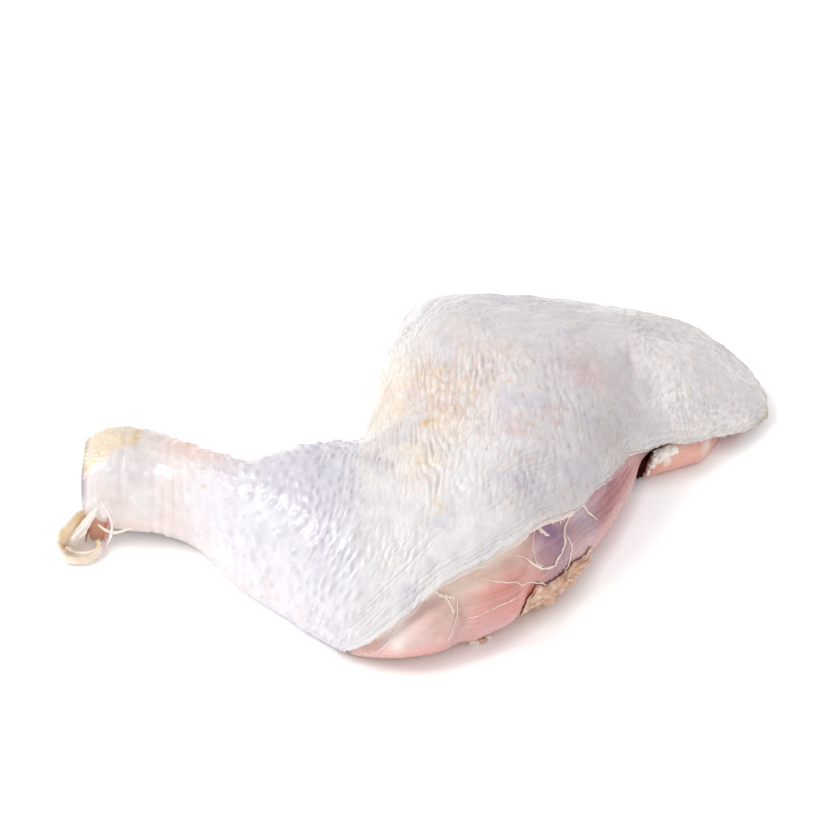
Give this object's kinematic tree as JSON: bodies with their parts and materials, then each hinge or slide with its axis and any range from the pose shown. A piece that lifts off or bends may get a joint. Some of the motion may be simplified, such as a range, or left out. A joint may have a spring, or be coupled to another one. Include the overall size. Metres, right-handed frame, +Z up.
{
  "type": "raw chicken leg quarter",
  "caption": "Raw bone-in chicken leg quarter lying skin side up: drumstick and thigh under pale skin, bare thigh muscle along the front, a curl of skin at the cut ankle.",
  "frame": {"origin": "centre of the bounding box in plan, on the surface the leg lies on", "axes": "+X along the longest extent, from the cut ankle to the hip; +Y from the knee to the rear of the thigh; +Z up"},
  "size_m": [0.2153, 0.1483, 0.0479],
  "materials": {
    "skin": "moist pale raw chicken skin, satin",
    "meat": "moist raw meat, glossy",
    "fat": "moist cream fat, glossy",
    "cartilage": "wet lavender-grey cartilage, glossy",
    "bone_end": "wet pinkish bone end, glossy"
  },
  "bodies": {
    "root": {"skin": "skin", "meat": "meat", "hip_lobe": "meat", "fat_strip": "fat", "ankle_knuckle": "cartilage", "hip_bone_ends": "bone_end"}
  },
  "joints": []
}
